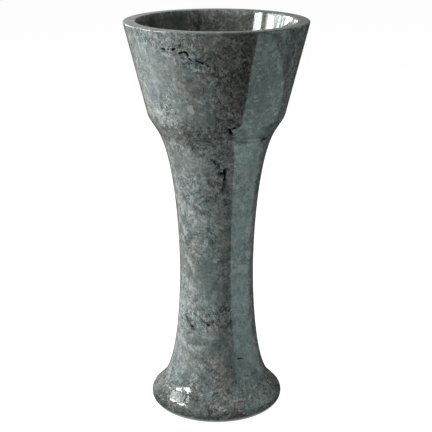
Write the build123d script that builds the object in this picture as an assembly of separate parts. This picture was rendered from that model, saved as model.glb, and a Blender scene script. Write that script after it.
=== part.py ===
from build123d import *
from math import cos, radians, sin, tan
import os

# Round stone pedestal planter in three turned drums, with a drain fitting and pipe inside.
# Millimetres, +Z up. The origin is on the floor, on the axis of rotation.

# Foot: a bulbous drum on rubber pads.
FOOT_R = 151.5            # widest radius
FOOT_LOWER_R = 28.2       # rounding from the underside up to the widest radius
FOOT_UPPER_R = 22.2       # rounding from the widest radius up to the shoulder
SHOULDER_LEAN = 45.0      # shoulder's lean from the vertical, degrees
ANKLE_R = 128.6           # where the shoulder meets the column

# Floor pads.
PAD_R = 15.0
PAD_PROUD = 2.0           # how far the pads stand out of the underside
PAD_SUNK = 2.0            # depth of the pad recesses
PAD_EDGE = 8.0            # from a pad's rim to the edge of the flat underside
PAD_COUNT = 4

# Column: two free curves that meet at the waist.
COLUMN_HEIGHT = 598.6     # ankle to neck
WAIST_R = 84.4
WAIST_HEIGHT = 268.2      # above the ankle
NECK_R = 134.2
NECK_PULL = 77.0          # curve handles, along the tangent at each end
WAIST_PULL_UP = 70.0
WAIST_PULL_DOWN = 55.0
ANKLE_PULL = 54.4

# Bowl.
BEVEL_OUT = 18.4          # from the neck out to the bowl's lower edge
BEVEL_RISE = 29.2
LOWER_EDGE_R = 40.0       # rounding of the lower edge
SIDE_RISE = 209.9         # lower edge to rim
RIM_R = 205.7
RIM_WIDTH = 28.0
RIM_ARRIS = 3.0           # rounding of both rim edges
FLOOR_FALL = 6.0          # fall of the floor towards the drain
FLOOR_CORNER_R = 35.0     # rounding between the floor and the side
DRAIN_SEAT_T = 33.5       # stone under the drain flange

# Joints between the drums.
BED_T = 1.0
BED_INSET = 1.0           # from the bed's rim to the stone's face
DOWEL_R = 5.0
DOWEL_DEPTH_UP = 20.0     # into the upper drum
DOWEL_DEPTH_DOWN = 34.0   # into the lower drum
DOWEL_COUNT = 3
DOWEL_GROUT = 0.4         # round the pin
DOWEL_HEADROOM = 0.5      # above the pin

# Drain fitting through the bowl's floor.
TAIL_R = 20.95            # thread of the tail, one and a quarter inch pipe
TAIL_BORE_R = 17.5
TAIL_BELOW_NUT = 22.0
STRAINER_R = 23.7
STRAINER_T = 1.5
STRAINER_SKIRT = 12.0     # depth of the skirt under the strainer
STRAINER_SKIRT_T = 1.0
STRAINER_FIT = 0.3        # round the strainer's disc
SKIRT_FIT = 0.5           # round the skirt
STRAINER_HOLE_R = 1.8
STRAINER_RINGS = ((8.0, 6), (12.6, 12))   # ring radius and number of holes
LEDGE_T = 2.0             # flange metal under the strainer
FLANGE_LAND = 8.0         # flange outside the strainer
FLANGE_EDGE_R = 0.6
FLANGE_GAP = 0.9          # sealant between the flange and the stone
GASKET_T = 2.0
GASKET_INSET = 1.0
FLOOR_HOLE_GAP = 1.55     # round the tail in the stone
UNDER_WASHER_R = 33.0
UNDER_GASKET_T = 4.0
WASHER_T = 1.5
WASHER_FIT = 0.3
LOCKNUT_FLATS = 54.0
LOCKNUT_T = 9.0
THREAD_FIT = 0.05

# Knob of the strainer.
PULL_BALL_R = 6.5
PULL_STEM_R = 2.5
PULL_STEM_H = 7.0         # disc to the ball's underside
PULL_COLLAR_R = 4.6
PULL_COLLAR_T = 1.2
PULL_FIT = 0.05

# Pipe down to the outlet under the foot.
PIPE_R = 16.0
PIPE_WALL = 1.8
PIPE_IN_TAIL = 25.0
PIPE_END_Z = 8.0          # outlet above the floor
SEAL_T = 6.0
SEAL_FIT = 0.05
SLIP_NUT_WALL = 5.0
SLIP_NUT_GRIP = 14.0      # threaded length up the tail
SLIP_NUT_LIP = 3.0
SLIP_NUT_SIDES = 8
LIP_GAP = 0.5
CORE_GAP = 7.0            # from the washer to the column's core
GUIDE_T = 20.0
GUIDE_LEDGE = 6.0         # how far the guide rests on the foot
GUIDE_FIT = 0.3

# Heights and radii that follow from the values above.
FOOT_BOTTOM_Z = PAD_PROUD
EQUATOR_Z = FOOT_BOTTOM_Z + FOOT_LOWER_R
SHOULDER_X = sin(radians(SHOULDER_LEAN))
SHOULDER_Z = cos(radians(SHOULDER_LEAN))
SHOULDER_TOP = (FOOT_R - FOOT_UPPER_R + FOOT_UPPER_R * SHOULDER_Z, EQUATOR_Z + FOOT_UPPER_R * SHOULDER_X)
ANKLE_Z = SHOULDER_TOP[1] + (SHOULDER_TOP[0] - ANKLE_R) / tan(radians(SHOULDER_LEAN))
WAIST_Z = ANKLE_Z + WAIST_HEIGHT
NECK_Z = ANKLE_Z + COLUMN_HEIGHT
EDGE_R = NECK_R + BEVEL_OUT
EDGE_Z = NECK_Z + BEVEL_RISE
RIM_Z = EDGE_Z + SIDE_RISE
SIDE_SLOPE = (RIM_R - EDGE_R) / SIDE_RISE
BEVEL_SLOPE = BEVEL_OUT / BEVEL_RISE

STRAINER_SEAT_R = STRAINER_R + STRAINER_FIT
FLANGE_R = STRAINER_SEAT_R + FLANGE_LAND
FLANGE_T = LEDGE_T + STRAINER_T
DRAIN_SEAT_Z = NECK_Z + DRAIN_SEAT_T
FLANGE_Z = DRAIN_SEAT_Z + GASKET_T
LEDGE_Z = FLANGE_Z + LEDGE_T
FLOOR_Z = FLANGE_Z + FLANGE_T
WASHER_Z = NECK_Z - UNDER_GASKET_T - WASHER_T
LOCKNUT_Z = WASHER_Z - LOCKNUT_T
TAIL_END_Z = LOCKNUT_Z - TAIL_BELOW_NUT
FLOOR_HOLE_R = TAIL_R + FLOOR_HOLE_GAP

CORE_R = UNDER_WASHER_R + CORE_GAP
FOOT_BORE_R = CORE_R - GUIDE_LEDGE
BOWL_DOWEL_RING = (CORE_R + NECK_R) / 2
FOOT_DOWEL_RING = (CORE_R + ANKLE_R) / 2
DOWEL_HOLE_R = DOWEL_R + DOWEL_GROUT
UNDERSIDE_R = FOOT_R - FOOT_LOWER_R
PAD_RING = UNDERSIDE_R - PAD_EDGE - PAD_R


def turned(*edges):
    """Solid turned about Z from a closed outline in (radius, height)."""
    return revolve(Plane.XZ * make_face(edges), Axis.Z)


def turned_polygon(points, roundings=()):
    """Solid turned about Z from corner points, some of them rounded: (corner, radius)."""
    outline = make_face(Polyline(*points, close=True))
    for corner, radius in roundings:
        vertex = outline.vertices().sort_by_distance(Vector(*corner))[0]
        outline = fillet(vertex, radius)
    return revolve(Plane.XZ * outline, Axis.Z)


def ring(inner_r, outer_r, z, height):
    """Flat ring or tube that stands on height z."""
    base = (Align.CENTER, Align.CENTER, Align.MIN)
    return Pos(0, 0, z) * (Cylinder(outer_r, height, align=base) - Cylinder(inner_r, height, align=base))


def round_row(radius, z, height, ring_r, count, start_angle=90.0):
    """Upright round bars, evenly spaced on a circle."""
    base = (Align.CENTER, Align.CENTER, Align.MIN)
    bar = Cylinder(radius, height, align=base)
    return [Pos(0, 0, z) * place * bar for place in PolarLocations(ring_r, count, start_angle)]


def dowel_holes(joint_z, ring_r):
    """Holes for the pins of one joint, through the bed and into both drums."""
    depth = DOWEL_DEPTH_DOWN + BED_T + DOWEL_DEPTH_UP
    return round_row(DOWEL_HOLE_R, joint_z - DOWEL_DEPTH_DOWN, depth, ring_r, DOWEL_COUNT)


def dowels(joint_z, ring_r):
    """Pins of one joint, seated on the bottoms of their holes."""
    length = DOWEL_DEPTH_DOWN + BED_T + DOWEL_DEPTH_UP - DOWEL_HEADROOM
    return Compound(round_row(DOWEL_R, joint_z - DOWEL_DEPTH_DOWN, length, ring_r, DOWEL_COUNT))


def make_bowl():
    inner_r = RIM_R - RIM_WIDTH
    floor_side_z = FLOOR_Z + FLOOR_FALL
    floor_side = (inner_r - (RIM_Z - floor_side_z) * SIDE_SLOPE, floor_side_z)
    recess_r = FLANGE_R + FLANGE_GAP
    edge = (EDGE_R, EDGE_Z)
    rim_outer = (RIM_R, RIM_Z)
    rim_inner = (inner_r, RIM_Z)
    points = [(FLOOR_HOLE_R, NECK_Z), (NECK_R, NECK_Z), edge, rim_outer, rim_inner, floor_side,
              (recess_r, FLOOR_Z), (recess_r, DRAIN_SEAT_Z), (FLOOR_HOLE_R, DRAIN_SEAT_Z)]
    roundings = [(edge, LOWER_EDGE_R), (rim_outer, RIM_ARRIS), (rim_inner, RIM_ARRIS),
                 (floor_side, FLOOR_CORNER_R)]
    return turned_polygon(points, roundings) - dowel_holes(NECK_Z - BED_T, BOWL_DOWEL_RING)


def make_column():
    # The ends continue the bevel above and the shoulder below.
    top = Vector(NECK_R - BED_T * BEVEL_SLOPE, NECK_Z - BED_T)
    bottom = Vector(ANKLE_R - BED_T * tan(radians(SHOULDER_LEAN)), ANKLE_Z + BED_T)
    waist = Vector(WAIST_R, WAIST_Z)
    neck_handle = top - Vector(BEVEL_OUT, BEVEL_RISE).normalized() * NECK_PULL
    ankle_handle = bottom + Vector(-SHOULDER_X, SHOULDER_Z) * ANKLE_PULL
    upper = Bezier(top, neck_handle, waist + Vector(0, WAIST_PULL_UP), waist)
    lower = Bezier(waist, waist - Vector(0, WAIST_PULL_DOWN), ankle_handle, bottom)
    core_bottom = Vector(CORE_R, bottom.Y)
    core_top = Vector(CORE_R, top.Y)
    drum = turned(upper, lower, Line(bottom, core_bottom), Line(core_bottom, core_top), Line(core_top, top))
    drum -= dowel_holes(NECK_Z - BED_T, BOWL_DOWEL_RING)
    return drum - dowel_holes(ANKLE_Z, FOOT_DOWEL_RING)


def make_foot():
    low = Vector(UNDERSIDE_R, FOOT_BOTTOM_Z)
    equator = Vector(FOOT_R, EQUATOR_Z)
    ankle = Vector(ANKLE_R, ANKLE_Z)
    bore_bottom = Vector(FOOT_BORE_R, FOOT_BOTTOM_Z)
    bore_top = Vector(FOOT_BORE_R, ANKLE_Z)
    upper_arc = CenterArc((FOOT_R - FOOT_UPPER_R, EQUATOR_Z), FOOT_UPPER_R, 0, SHOULDER_LEAN)
    drum = turned(Line(bore_bottom, low), CenterArc((UNDERSIDE_R, EQUATOR_Z), FOOT_LOWER_R, 270, 90),
                  upper_arc, Line(upper_arc @ 1, ankle), Line(ankle, bore_top), Line(bore_top, bore_bottom))
    drum -= dowel_holes(ANKLE_Z, FOOT_DOWEL_RING)
    recess_r = PAD_R + GUIDE_FIT
    return drum - round_row(recess_r, FOOT_BOTTOM_Z, PAD_SUNK, PAD_RING, PAD_COUNT, 45.0)


def make_bed(joint_z, outer_r, ring_r):
    """Resin bed on top of a drum, between its core and its face."""
    return ring(CORE_R, outer_r - BED_INSET, joint_z, BED_T) - dowel_holes(joint_z, ring_r)


def make_flange():
    points = [(TAIL_BORE_R, TAIL_END_Z), (TAIL_R, TAIL_END_Z), (TAIL_R, FLANGE_Z), (FLANGE_R, FLANGE_Z),
              (FLANGE_R, FLOOR_Z), (STRAINER_SEAT_R, FLOOR_Z), (STRAINER_SEAT_R, LEDGE_Z), (TAIL_BORE_R, LEDGE_Z)]
    return turned_polygon(points, [((FLANGE_R, FLOOR_Z), FLANGE_EDGE_R)])


def make_strainer():
    skirt_r = TAIL_BORE_R - SKIRT_FIT
    plate = ring(PULL_STEM_R + PULL_FIT, STRAINER_R, LEDGE_Z, STRAINER_T)
    plate += ring(skirt_r - STRAINER_SKIRT_T, skirt_r, LEDGE_Z - STRAINER_SKIRT, STRAINER_SKIRT)
    for ring_r, count in STRAINER_RINGS:
        plate -= round_row(STRAINER_HOLE_R, LEDGE_Z, STRAINER_T, ring_r, count)
    return plate


def make_pull():
    """Knob with a stem through the strainer, held by a collar above and a rivet head below."""
    base = (Align.CENTER, Align.CENTER, Align.MIN)
    ball_z = FLOOR_Z + PULL_STEM_H + PULL_BALL_R
    collar = Cylinder(PULL_COLLAR_R, PULL_COLLAR_T, align=base)
    rivet_z = LEDGE_Z - PULL_COLLAR_T
    knob = Pos(0, 0, rivet_z) * Cylinder(PULL_STEM_R, ball_z - rivet_z, align=base)
    knob += Pos(0, 0, ball_z) * Sphere(PULL_BALL_R)
    knob += Pos(0, 0, FLOOR_Z) * collar
    return knob + Pos(0, 0, rivet_z) * collar


def make_locknut():
    blank = extrude(Pos(0, 0, LOCKNUT_Z) * RegularPolygon(LOCKNUT_FLATS / 2, 6, major_radius=False), LOCKNUT_T)
    return blank - Pos(0, 0, LOCKNUT_Z + LOCKNUT_T / 2) * Cylinder(TAIL_R + THREAD_FIT, LOCKNUT_T)


def make_slip_nut():
    lip_z = TAIL_END_Z - SEAL_T - SLIP_NUT_LIP
    thread_r = TAIL_R + THREAD_FIT
    height = SLIP_NUT_LIP + SEAL_T + SLIP_NUT_GRIP
    blank = RegularPolygon(thread_r + SLIP_NUT_WALL, SLIP_NUT_SIDES, major_radius=False)
    cup = extrude(Pos(0, 0, lip_z) * blank, height)
    base = (Align.CENTER, Align.CENTER, Align.MIN)
    cup -= Pos(0, 0, lip_z + SLIP_NUT_LIP) * Cylinder(thread_r, height, align=base)
    return cup - Pos(0, 0, lip_z) * Cylinder(PIPE_R + LIP_GAP, height, align=base)


def make_pipe():
    top_z = TAIL_END_Z + PIPE_IN_TAIL
    return ring(PIPE_R - PIPE_WALL, PIPE_R, PIPE_END_Z, top_z - PIPE_END_Z)


def make_pads():
    return Compound(round_row(PAD_R, 0, PAD_PROUD + PAD_SUNK, PAD_RING, PAD_COUNT, 45.0))


PARTS = {
    "bowl": make_bowl(),
    "column": make_column(),
    "foot": make_foot(),
    "bowl_bed": make_bed(NECK_Z - BED_T, NECK_R, BOWL_DOWEL_RING),
    "foot_bed": make_bed(ANKLE_Z, ANKLE_R, FOOT_DOWEL_RING),
    "bowl_dowels": dowels(NECK_Z - BED_T, BOWL_DOWEL_RING),
    "foot_dowels": dowels(ANKLE_Z, FOOT_DOWEL_RING),
    "drain_flange": make_flange(),
    "drain_strainer": make_strainer(),
    "strainer_pull": make_pull(),
    "flange_gasket": ring(TAIL_R + WASHER_FIT, FLANGE_R - GASKET_INSET, DRAIN_SEAT_Z, GASKET_T),
    "under_gasket": ring(TAIL_R + WASHER_FIT, UNDER_WASHER_R, NECK_Z - UNDER_GASKET_T, UNDER_GASKET_T),
    "drain_washer": ring(TAIL_R + WASHER_FIT, UNDER_WASHER_R, WASHER_Z, WASHER_T),
    "drain_locknut": make_locknut(),
    "slip_seal": ring(PIPE_R + SEAL_FIT, TAIL_R - SEAL_FIT, TAIL_END_Z - SEAL_T, SEAL_T),
    "slip_nut": make_slip_nut(),
    "drain_pipe": make_pipe(),
    "pipe_guide": ring(PIPE_R + SEAL_FIT, CORE_R - GUIDE_FIT, ANKLE_Z, GUIDE_T),
    "floor_pads": make_pads(),
}

os.makedirs("parts", exist_ok=True)
for name, part in PARTS.items():
    export_step(part, f"parts/{name}.step")
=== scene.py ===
import math
from functools import partialmethod

import bpy
import numpy as np
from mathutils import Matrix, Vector, noise
from mathutils.geometry import interpolate_bezier


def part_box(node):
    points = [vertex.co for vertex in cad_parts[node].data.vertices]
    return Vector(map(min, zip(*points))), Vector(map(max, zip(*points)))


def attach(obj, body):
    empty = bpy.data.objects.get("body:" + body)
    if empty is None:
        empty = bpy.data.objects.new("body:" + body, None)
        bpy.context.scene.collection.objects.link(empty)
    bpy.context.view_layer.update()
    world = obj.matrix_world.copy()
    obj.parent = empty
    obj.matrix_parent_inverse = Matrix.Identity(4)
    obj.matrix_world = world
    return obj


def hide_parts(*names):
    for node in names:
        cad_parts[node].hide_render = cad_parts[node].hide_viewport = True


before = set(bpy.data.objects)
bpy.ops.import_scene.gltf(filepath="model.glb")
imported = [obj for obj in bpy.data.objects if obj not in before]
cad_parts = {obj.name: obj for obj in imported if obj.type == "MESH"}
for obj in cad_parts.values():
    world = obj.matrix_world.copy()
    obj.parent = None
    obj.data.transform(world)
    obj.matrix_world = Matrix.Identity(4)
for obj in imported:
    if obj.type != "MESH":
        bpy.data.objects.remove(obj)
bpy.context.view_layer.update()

bl_info = {
    "name": "Stone Pedestal Planter",
    "version": (1, 0, 0),
    "blender": (4, 5, 0),
    "location": "View3D > Sidebar > Planter",
    "description": "Builds a polished stone pedestal planter, its drain fitting and a small studio",
    "category": "Add Mesh",
}


def heights(node):
    low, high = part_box(node)
    return low.z, high.z


# Heights and radii that the frame gives, in metres.
NECK_Z, RIM_Z = heights("bowl")
FOOT_BOTTOM_Z, ANKLE_Z = heights("foot")
COLUMN_BOTTOM_Z, COLUMN_TOP_Z = heights("column")
STRAINER_BOTTOM_Z, STRAINER_TOP_Z = heights("drain_strainer")
PULL_BOTTOM_Z, PULL_TOP_Z = heights("strainer_pull")
DRAIN_SEAT_Z = heights("flange_gasket")[0]
FLANGE_TOP_Z = heights("drain_flange")[1]
FOOT_R, FLANGE_R, STRAINER_R = (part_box(node)[1].x for node in ("foot", "drain_flange", "drain_strainer"))

AROUND = 288              # segments round each stone drum
JOINT_ARRIS = 0.00015     # rounding of the edges at the two joints
BED_SHY = 0.00012         # how far the joint resin lies behind the stone's face
SHOULDER = math.radians(45)
OVERCUT = 0.01            # how far a cutter stands out of the stone that it cuts
PIN_R = 0.005             # radius of the pins
PIN_HEADROOM = 0.0005     # room above a pin
PAD_R = 0.015             # radius of the floor pads
PAD_GAP = 0.0003          # round a pad in its recess
ARRIS_IN = 0.0009         # middle of a rim arris, in from its corner
PIT_SPREAD = 1.15         # radius of a dent for its stated half width
PIT_SINK = 2.4            # depth of a pit for its stated half width
PIT_MARGIN = 0.002        # how far pits stay from a drum's ends
PIT_STEEP = 1.8           # how much faster a pit's sides fall than a chip's
PIT_DARK = 1.7            # how fast the painted shade of a pit darkens inwards
CHIP_SIZES = (0.0016, 0.0042)
CHIP_SINK = 0.22          # depth of a chip for its radius
DENT_REACH = 0.0025       # finer mesh round each dent
RAGGED_RATE = 620.0       # fineness of a dent's ragged edge
RAGGED = 0.75             # share by which it widens and narrows a dent
RAGGED_REACH = 1.6        # how far out a ragged dent is looked for, in its radius
OUTER_FROM = 0.006        # how far out from the core the waviness starts
LEVEL = 0.985             # upright part of the normal of a level face
WAVE_RATE = 11.0          # fineness of the waviness
CLEAN_RIM = 0.002         # untinted strip inside, under the rim
INSIDE_TINT_FADE = 0.012        # height over which the inside tint sets in below it

# The room that the polish mirrors: radii, heights and places of its cards, in metres.
WINDOW_X = -1.7
CARD_START = 0.15         # inner edge of the floor cards
SCREEN_R = 1.85           # foot of the teal wall
SCREEN_TOP = 1.25         # its head, where the leaning wall on the right starts
RIGHT_R = 2.6             # head of the wall on the right
BACK_R = 2.9
FRONT_R = 3.2
CEILING_Z = 3.4

# The camera, in metres and degrees, and its lens on a 36 mm sensor. The shift is half a pixel of the 432.
CAMERA_PLACE = (0.0, -2.8, 1.2695)
CAMERA_TILT = 73.763
CAMERA_LENS = 106.6
CAMERA_SHIFT = -0.5 / 432


# ---- properties

def length(name, text, default):
    return bpy.props.FloatProperty(name=name, description=text, default=default, min=0.0, unit="LENGTH", precision=4)


def colour(name, text, default):
    return bpy.props.FloatVectorProperty(name=name, description=text, default=default, min=0.0, max=1.0,
                                         size=3, subtype="COLOR")


def factor(name, text, default, most=1.0):
    return bpy.props.FloatProperty(name=name, description=text, default=default, min=0.0, max=most)


class PlanterShape(bpy.types.PropertyGroup):
    """Sizes of the three stone drums."""
    foot_lower_r: length("Foot lower rounding", "From the underside up to the widest radius", 0.0282)
    foot_upper_r: length("Foot upper rounding", "From the widest radius up to the shoulder", 0.0222)
    ankle_r: length("Ankle radius", "Where the shoulder meets the column", 0.1286)
    foot_bore_r: length("Foot bore radius", "Bore through the foot", 0.034)
    waist_r: length("Waist radius", "Narrowest radius of the column", 0.0844)
    waist_height: length("Waist height", "Waist above the ankle", 0.2682)
    core_r: length("Core radius", "Bore through the column", 0.040)
    neck_r: length("Neck radius", "Where the column meets the bowl", 0.1342)
    bevel_out: length("Bevel width", "From the neck out to the bowl's lower edge", 0.0184)
    bevel_rise: length("Bevel rise", "From the neck up to the bowl's lower edge", 0.0292)
    lower_edge_r: length("Lower edge rounding", "Rounding of the bowl's lower edge", 0.040)
    rim_r: length("Rim radius", "Outer radius of the rim before its edge is rounded", 0.2057)
    rim_width: length("Rim width", "Width of the flat rim", 0.028)
    rim_arris: length("Rim arris", "Rounding of both rim edges", 0.003)
    floor_fall: length("Floor fall", "Fall of the bowl's floor towards the drain", 0.006)
    floor_corner_r: length("Floor corner", "Rounding between the floor and the side", 0.035)
    floor_hole_r: length("Floor hole radius", "Hole in the bowl's floor for the drain", 0.0225)
    flange_gap: length("Flange gap", "Sealant between the flange and the stone", 0.0009)
    dowel_hole_r: length("Dowel hole radius", "Holes for the pins", 0.0054)
    waviness: length("Waviness", "How far hand polishing leaves the faces uneven", 0.00016)


class StoneFinish(bpy.types.PropertyGroup):
    """Colours and polish of the stone."""
    deep: colour("Deep", "Darkest tone of the mottling", (0.016, 0.021, 0.020))
    body: colour("Body", "Middle tone", (0.168, 0.190, 0.184))
    pale: colour("Pale", "Lightest tone of the mottling", (0.480, 0.510, 0.500))
    taupe: colour("Taupe", "Warm patches", (0.205, 0.178, 0.165))
    fleck: colour("Fleck", "Pale crystals", (0.46, 0.48, 0.465))
    vein: colour("Vein", "Dark veins", (0.030, 0.037, 0.037))
    # Painted shade: near-black colour that stands in for the shade inside the open pits.
    void: colour("Void", "Inside of the open pits", (0.006, 0.008, 0.010))
    # Darker, warmer tint over the inside of the bowl below the rim.
    inside_tint: colour("Stain", "Tint that soil leaves on the inside of the bowl", (0.46, 0.44, 0.36))
    polish: factor("Polish roughness", "Roughness of the best polished places", 0.05)


class FittingFinish(bpy.types.PropertyGroup):
    """Colours of the drain fitting, the pins, the joints and the pads."""
    brass: colour("Brass", "Drain fitting", (0.72, 0.53, 0.26))
    tarnish: colour("Tarnish", "Dull brown film on the brass", (0.30, 0.20, 0.10))
    steel: colour("Steel", "Pins", (0.58, 0.58, 0.57))
    rubber: colour("Rubber", "Seals and pads", (0.030, 0.030, 0.031))
    plastic: colour("Pipe plastic", "Pipe, nut and guide", (0.74, 0.74, 0.71))
    resin: colour("Resin", "Joint beds", (0.15, 0.16, 0.155))


class StudioSetup(bpy.types.PropertyGroup):
    """Floor, lamps and reflected cards."""
    floor: colour("Floor", "Colour of the floor", (0.36, 0.36, 0.36))
    low_key_power: factor("Low key power", "Watts of the lower window lamp on the left", 35.0, 1000.0)
    high_key_power: factor("High key power", "Watts of the upper window lamp on the left", 45.0, 1000.0)
    front_power: factor("Front power", "Watts of the soft lamp in front", 6.0, 1000.0)
    front_right_power: factor("Front right power", "Watts of the soft lamp in front, on the right", 9.0, 1000.0)
    right_power: factor("Right power", "Watts of the soft lamp on the right, behind", 12.0, 1000.0)
    back_power: factor("Back power", "Watts of the soft lamp behind", 12.0, 1000.0)
    ambient: factor("Ambient", "Strength of the world's soft light", 0.02, 10.0)
    window: factor("Window", "Brightness of the window panes in reflections", 34.0, 100.0)
    upper_window: factor("Upper window", "Brightness of the panes' shaded parts in reflections", 11.0, 100.0)
    front_card: factor("Front card", "Brightness of the front of the room in reflections", 0.27, 10.0)
    right_card: factor("Right card", "Brightness of the wall on the right in reflections", 0.50, 10.0)
    ceiling_card: factor("Ceiling card", "Brightness of the ceiling in reflections", 0.25, 10.0)
    screen: factor("Screen", "Brightness of the lit teal floor in reflections", 2.5, 100.0)
    screen_wall: factor("Screen wall", "Brightness of the teal wall behind it in reflections", 1.65, 100.0)


# ---- turning

def enter(mode):
    bpy.ops.object.mode_set(mode=mode)


def pick_none():
    if bpy.context.mode != "OBJECT":
        enter("OBJECT")
    bpy.ops.object.select_all(action="DESELECT")


def pick(obj):
    pick_none()
    obj.select_set(True)
    bpy.context.view_layer.objects.active = obj


class Lathe:
    """Draws an outline in (radius, height) by extruding one vertex, then spins it about Z."""

    def __init__(self, name, start):
        pick_none()
        bpy.ops.mesh.primitive_plane_add(size=0.01)
        self.obj = bpy.context.object
        self.obj.name = self.obj.data.name = name
        enter("EDIT")
        bpy.ops.mesh.merge(type="CENTER")
        self.first = self.at = Vector(start)
        bpy.ops.transform.translate(value=(self.at.x, 0, self.at.y))

    def line(self, to, spacing=1.0):
        """Straight run in equal steps no longer than spacing."""
        to = Vector(to)
        steps = max(1, math.ceil((to - self.at).length / spacing - 1e-6))
        step = (to - self.at) / steps
        for _ in range(steps):
            bpy.ops.mesh.extrude_region_move(TRANSFORM_OT_translate={"value": (step.x, 0, step.y)})
        self.at = to

    def lines(self, *points):
        """Straight runs, each to a radius and height with its own spacing if it has one."""
        for radius, height, *spacing in points:
            self.line((radius, height), *spacing)

    def arc(self, centre, degrees, steps):
        """Arc about centre, positive from below outwards."""
        centre = Vector(centre)
        bpy.ops.mesh.spin(steps=steps, angle=math.radians(degrees), center=(centre.x, 0, centre.y), axis=(0, 1, 0))
        turn = math.radians(degrees)
        arm = self.at - centre
        self.at = centre + Vector((arm.x * math.cos(turn) - arm.y * math.sin(turn),
                                   arm.x * math.sin(turn) + arm.y * math.cos(turn)))

    def corner(self, corner, after, radius, steps, spacing=1.0):
        """Straight run towards corner, rounded there towards the point after it."""
        corner, after = Vector(corner), Vector(after)
        inward, outward = (corner - self.at).normalized(), (after - corner).normalized()
        cross = inward.x * outward.y - inward.y * outward.x
        turn = math.atan2(cross, inward.dot(outward))
        self.line(corner - inward * radius * math.tan(abs(turn) / 2), spacing)
        side = Vector((-inward.y, inward.x)) * math.copysign(radius, turn)
        self.arc(self.at + side, math.degrees(turn), steps)

    def curve(self, handle, next_handle, to, steps):
        """Free curve with two handles."""
        ends = [Vector((p[0], 0, p[1])) for p in (self.at, handle, next_handle, to)]
        for point in interpolate_bezier(*ends, steps + 1)[1:]:
            self.line((point.x, point.z))

    def close(self, spacing=1.0):
        self.line(self.first, spacing)

    def soften(self, points, width, steps=2):
        """Rounds the outline's vertices at the given points."""
        enter("OBJECT")
        mesh = self.obj.data
        for v in mesh.vertices:
            v.select = any((Vector((v.co.x, v.co.z)) - Vector(p)).length < 1e-6 for p in points)
        enter("EDIT")
        bpy.ops.mesh.bevel(offset=width, segments=steps, affect="VERTICES")

    def spin(self, around=AROUND, degrees=360.0):
        bpy.ops.mesh.select_all(action="SELECT")
        bpy.ops.mesh.remove_doubles(threshold=1e-7)
        bpy.ops.mesh.spin(steps=around, angle=-math.radians(degrees), center=(0, 0, 0), axis=(0, 0, 1))
        bpy.ops.mesh.select_all(action="SELECT")
        bpy.ops.mesh.remove_doubles(threshold=1e-6)
        bpy.ops.mesh.normals_make_consistent(inside=False)
        enter("OBJECT")
        return self.obj


def drill(obj, radius, low_z, high_z, ring_r, count, start_degrees=90.0, around=32):
    """Round holes on a circle, cut by cylinders that are then removed."""
    tools = []
    for i in range(count):
        angle = math.radians(start_degrees + 360.0 * i / count)
        pick_none()
        bpy.ops.mesh.primitive_cylinder_add(
            vertices=around, radius=radius, depth=high_z - low_z,
            location=(ring_r * math.cos(angle), ring_r * math.sin(angle), (high_z + low_z) / 2))
        tools.append(bpy.context.object)
    for tool in tools:
        tool.select_set(True)
    bpy.ops.object.join()
    cut_away(obj, bpy.context.object)


def drill_for_pins(obj, node, low_z, high_z):
    """Holes for the three pins of a joint, of which one stands at the back."""
    drill(obj, bpy.context.scene.planter_shape.dowel_hole_r, low_z, high_z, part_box(node)[1].y - PIN_R, 3)


def cut_away(obj, cutter):
    pick(obj)
    cut = obj.modifiers.new("cut", "BOOLEAN")
    cut.operation, cut.solver, cut.object = "DIFFERENCE", "EXACT", cutter
    bpy.ops.object.modifier_apply(modifier=cut.name)
    pick(cutter)
    bpy.ops.object.delete()


def smooth(obj, degrees=35.0):
    pick(obj)
    bpy.ops.object.shade_smooth_by_angle(angle=math.radians(degrees))


def stand_for(obj, material, slot, body, *nodes):
    """Gives a new piece its finish, puts it in its body and hides the nodes it stands for."""
    obj.data.materials.clear()
    obj.data.materials.append(material)
    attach(obj, body)
    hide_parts(*nodes)


# ---- marks in the stone, and painted shade and painted light

# Open pits along old cracks: azimuth from the front towards the right in degrees and height in mm, at the start and
# at the end, then half width in mm.
PITS = (
    (-35.1, 861.7, -33.6, 860.5, 2), (-31.1, 862.1, -30.3, 861, 1.4), (-27.9, 860.8, -26.4, 862.9, 2.9),
    (-23.4, 854.2, -21.6, 856, 2.1), (-20.1, 857.8, -18.7, 856.8, 2.2), (-18.7, 856.8, -17.7, 849.7, 2),
    (-17.4, 844.1, -16, 840.9, 1.5), (-12.8, 840.1, -10.4, 837.3, 1.5), (-10.4, 837.3, -8.6, 834.9, 2),
    (-21.9, 874.6, -22.3, 868.1, 1), (-6, 829.9, -5, 827.8, 1.1), (10.3, 686.8, 12.3, 677.1, 3.2),
    (12.6, 671.4, 13, 661.8, 2.8), (8.6, 682.5, 7.4, 678.6, 1.6), (13.4, 688.5, 14.8, 692.1, 1.6),
    (51.2, 652.6, 56.2, 649, 2.6), (57.9, 651.5, 60.8, 654.8, 2.3), (50, 649.3, 52.8, 645.2, 1.5),
    (-2.8, 609, -1, 606, 1.5), (1.9, 598.5, 3.6, 596.2, 1.3), (4.6, 579.6, 7.2, 580.4, 2.2), (8.8, 588, 9.6, 578.4, 3),
    (10, 574.1, 9.5, 564.8, 2.2), (8.9, 557.1, 8.6, 553.5, 1.2), (7, 545.4, 8, 541.4, 1.3),
    (-39.5, 213.9, -35.7, 211.5, 1.4), (-13.6, 223.4, -10.6, 220.5, 1.4), (-12.6, 246.6, -10.4, 244, 1.1),
    (18.9, 124.8, 20.1, 120.5, 1.4), (29.8, 140, 36.6, 138.4, 1.1), (147, 836, 149.5, 839, 2),
    (152, 842, 154.5, 841, 2.4), (156.5, 846, 158, 851, 1.5), (-128, 402, -126, 398, 2.1), (-124, 394, -121, 392, 1.5),
    (99, 212, 103, 216, 1.8), (-98, 604, -96, 599, 1.7), (201, 713, 205, 711, 2.1), (-70, 96, -66, 93, 1.2),
)
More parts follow.
